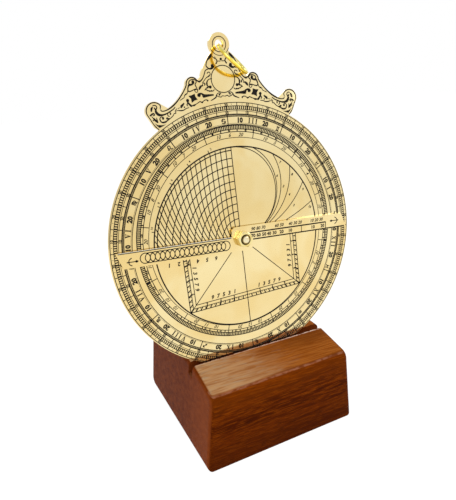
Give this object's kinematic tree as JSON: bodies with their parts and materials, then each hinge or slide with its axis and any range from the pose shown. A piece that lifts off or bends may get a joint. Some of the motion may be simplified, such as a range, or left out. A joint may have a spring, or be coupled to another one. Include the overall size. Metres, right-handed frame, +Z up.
{
  "type": "astrolabe",
  "caption": "Engraved brass disc with a scrolled crest and hanging ring, a turning sighting arm, and a pierced star map and rule behind, leaning in the slot of a wood block.",
  "frame": {"origin": "middle of the part's footprint, on the table under the disc", "axes": "+Z up, the face with the alidade looks along -Y and leans back, +X to the viewer's right"},
  "size_m": [0.15, 0.0998, 0.2286],
  "materials": {
    "wood": "oiled hardwood, satin",
    "disc_brass": "polished, with engraving filled in black",
    "limb_brass": "polished, engraved",
    "tympan_brass": "polished, engraved",
    "rete_brass": "polished",
    "rule_brass": "polished",
    "alidade_brass": "polished, with engraving filled in black",
    "nut_brass": "polished",
    "bolt_brass": "polished, domed end",
    "ring_brass": "polished wire",
    "fitting_brass": "plain"
  },
  "bodies": {
    "stand": {"base_block": "wood"},
    "instrument": {"mater_plate": "disc_brass", "limb_ring": "limb_brass", "tympan_plate": "tympan_brass", "alidade_washer": "fitting_brass", "rule_washer": "fitting_brass", "centre_bolt": "bolt_brass", "hex_nut": "nut_brass"},
    "alidade_body": {"alidade": "alidade_brass"},
    "rete_body": {"rete": "rete_brass"},
    "rule_body": {"rule": "rule_brass"},
    "ring_body": {"suspension_ring": "ring_brass"}
  },
  "joints": [
    {"name": "lift_out", "type": "slide", "parent": "stand", "child": "instrument", "axis": [0, 0, 1], "range_m": [0, 0.04]},
    {"name": "alidade_turn", "type": "hinge", "parent": "instrument", "child": "alidade_body", "pos_m": [0, -0.01523, 0.12027], "axis": [0, -0.9914, 0.1305], "range_deg": [-61, 67]},
    {"name": "rete_turn", "type": "hinge", "parent": "instrument", "child": "rete_body", "pos_m": [0, -0.01086, 0.11969], "axis": [0, -0.9914, 0.1305], "continuous": true},
    {"name": "rule_turn", "type": "hinge", "parent": "instrument", "child": "rule_body", "pos_m": [0, -0.00999, 0.11958], "axis": [0, -0.9914, 0.1305], "continuous": true},
    {"name": "ring_swing", "type": "hinge", "parent": "instrument", "child": "ring_body", "pos_m": [-0.00181, 0.0004, 0.22269], "axis": [0, -0.9914, 0.1305], "range_deg": [0, 255]}
  ]
}
